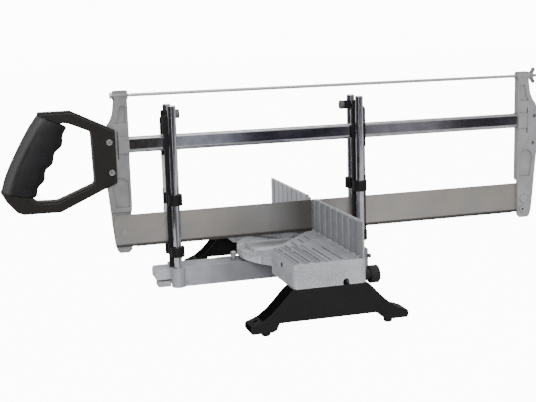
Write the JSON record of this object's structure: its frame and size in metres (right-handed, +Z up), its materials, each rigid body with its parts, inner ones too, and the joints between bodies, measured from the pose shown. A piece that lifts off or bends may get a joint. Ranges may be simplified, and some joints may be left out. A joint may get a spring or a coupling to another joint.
{
  "type": "manual mitre saw",
  "caption": "Manual mitre saw with a frame saw on sliding guides over a fenced table, a swinging arm with an index lever, and moulded feet",
  "frame": {"origin": "bottom centre of the bounding box, on the bench", "axes": "+Z up, +Y from the handle to the far end of the saw, +X along the fence to the side with the lock knob"},
  "size_m": [0.344, 0.7024, 0.2706],
  "materials": {
    "bed_casting": "sand-cast, bare",
    "left_foot": "moulded, black",
    "right_foot": "moulded, black",
    "foot_pads": "black rubber",
    "foot_screws": "zinc plated",
    "pivot_bolt": "zinc plated",
    "pivot_washer": "zinc plated",
    "swing_arm": "die-cast, satin",
    "post_set_screws": "black oxide",
    "guide_posts": "polished",
    "lever_pin": "plain steel",
    "index_pointer": "bright plated",
    "pointer_screw": "zinc plated",
    "index_lever": "grey enamel",
    "front_guide": "moulded, black",
    "front_liners": "natural light grey",
    "rear_guide": "moulded, black",
    "rear_liners": "natural light grey",
    "front_stop_collar": "moulded, black",
    "rear_stop_collar": "moulded, black",
    "front_stop_screw": "nickel plated",
    "rear_stop_screw": "nickel plated",
    "spine_tube": "polished",
    "handle_casting": "silver grey paint",
    "far_casting": "silver grey paint",
    "blade": "ground, lightly tempered",
    "blade_pins": "plain steel",
    "tension_rod": "zinc plated",
    "rod_washer": "zinc plated",
    "wing_nut": "zinc plated",
    "handle_frame": "moulded, brown black",
    "grip": "soft touch, blue black",
    "handle_screws": "zinc plated",
    "lock_knob": "moulded, black",
    "lock_stud": "zinc plated"
  },
  "bodies": {
    "base": {"bed_casting": "bed_casting", "left_foot": "left_foot", "right_foot": "right_foot", "foot_pads": "foot_pads", "foot_screws": "foot_screws", "pivot_bolt": "pivot_bolt", "pivot_washer": "pivot_washer"},
    "arm": {"swing_arm": "swing_arm", "post_set_screws": "post_set_screws", "guide_posts": "guide_posts", "lever_pin": "lever_pin", "index_pointer": "index_pointer", "pointer_screw": "pointer_screw"},
    "lever": {"index_lever": "index_lever"},
    "front_carriage": {"front_guide": "front_guide", "front_liners": "front_liners"},
    "rear_carriage": {"rear_guide": "rear_guide", "rear_liners": "rear_liners"},
    "front_stop": {"front_stop_collar": "front_stop_collar"},
    "rear_stop": {"rear_stop_collar": "rear_stop_collar"},
    "front_stop_thumb": {"front_stop_screw": "front_stop_screw"},
    "rear_stop_thumb": {"rear_stop_screw": "rear_stop_screw"},
    "saw": {"spine_tube": "spine_tube", "handle_casting": "handle_casting", "far_casting": "far_casting", "blade": "blade", "blade_pins": "blade_pins", "tension_rod": "tension_rod", "rod_washer": "rod_washer", "handle_frame": "handle_frame", "grip": "grip", "handle_screws": "handle_screws"},
    "wing": {"wing_nut": "wing_nut"},
    "lock": {"lock_knob": "lock_knob", "lock_stud": "lock_stud"}
  },
  "joints": [
    {"name": "arm_swing", "type": "hinge", "parent": "base", "child": "arm", "pos_m": [0, 0.0252, 0.0503], "axis": [0, 0, 1], "range_deg": [-45, 45]},
    {"name": "index_press", "type": "hinge", "parent": "arm", "child": "lever", "pos_m": [0, -0.1398, 0.0312], "axis": [-1, 0, 0], "range_deg": [-1.3, 3.4], "stiffness_Nm_per_rad": 2, "springref_deg": -1.3},
    {"name": "front_lift", "type": "slide", "parent": "arm", "child": "front_carriage", "axis": [0, 0, 1], "range_m": [0, 0.08]},
    {"name": "rear_lift", "type": "slide", "parent": "arm", "child": "rear_carriage", "axis": [0, 0, 1], "range_m": [0, 0.08]},
    {"name": "saw_stroke", "type": "slide", "parent": "front_carriage", "child": "saw", "axis": [0, 1, 0], "range_m": [-0.213, 0.036]},
    {"name": "wing_turn", "type": "hinge", "parent": "saw", "child": "wing", "pos_m": [0, 0.3362, 0.2604], "axis": [0, 1, 0], "continuous": true},
    {"name": "lock_turn", "type": "hinge", "parent": "base", "child": "lock", "pos_m": [0.154, 0.0452, 0.0556], "axis": [0, 1, 0], "continuous": true},
    {"name": "front_stop_slide", "type": "slide", "parent": "arm", "child": "front_stop", "axis": [0, 0, 1], "range_m": [-0.006, 0.007]},
    {"name": "rear_stop_slide", "type": "slide", "parent": "arm", "child": "rear_stop", "axis": [0, 0, 1], "range_m": [-0.006, 0.007]},
    {"name": "front_stop_turn", "type": "hinge", "parent": "front_stop", "child": "front_stop_thumb", "pos_m": [-0.0145, -0.1383, 0.234], "axis": [0, 1, 0], "continuous": true},
    {"name": "rear_stop_turn", "type": "hinge", "parent": "rear_stop", "child": "rear_stop_thumb", "pos_m": [-0.0145, 0.0752, 0.234], "axis": [0, 1, 0], "continuous": true}
  ],
  "couplings": [
    {"joint": "rear_lift", "follows": "front_lift", "ratio": 1}
  ]
}
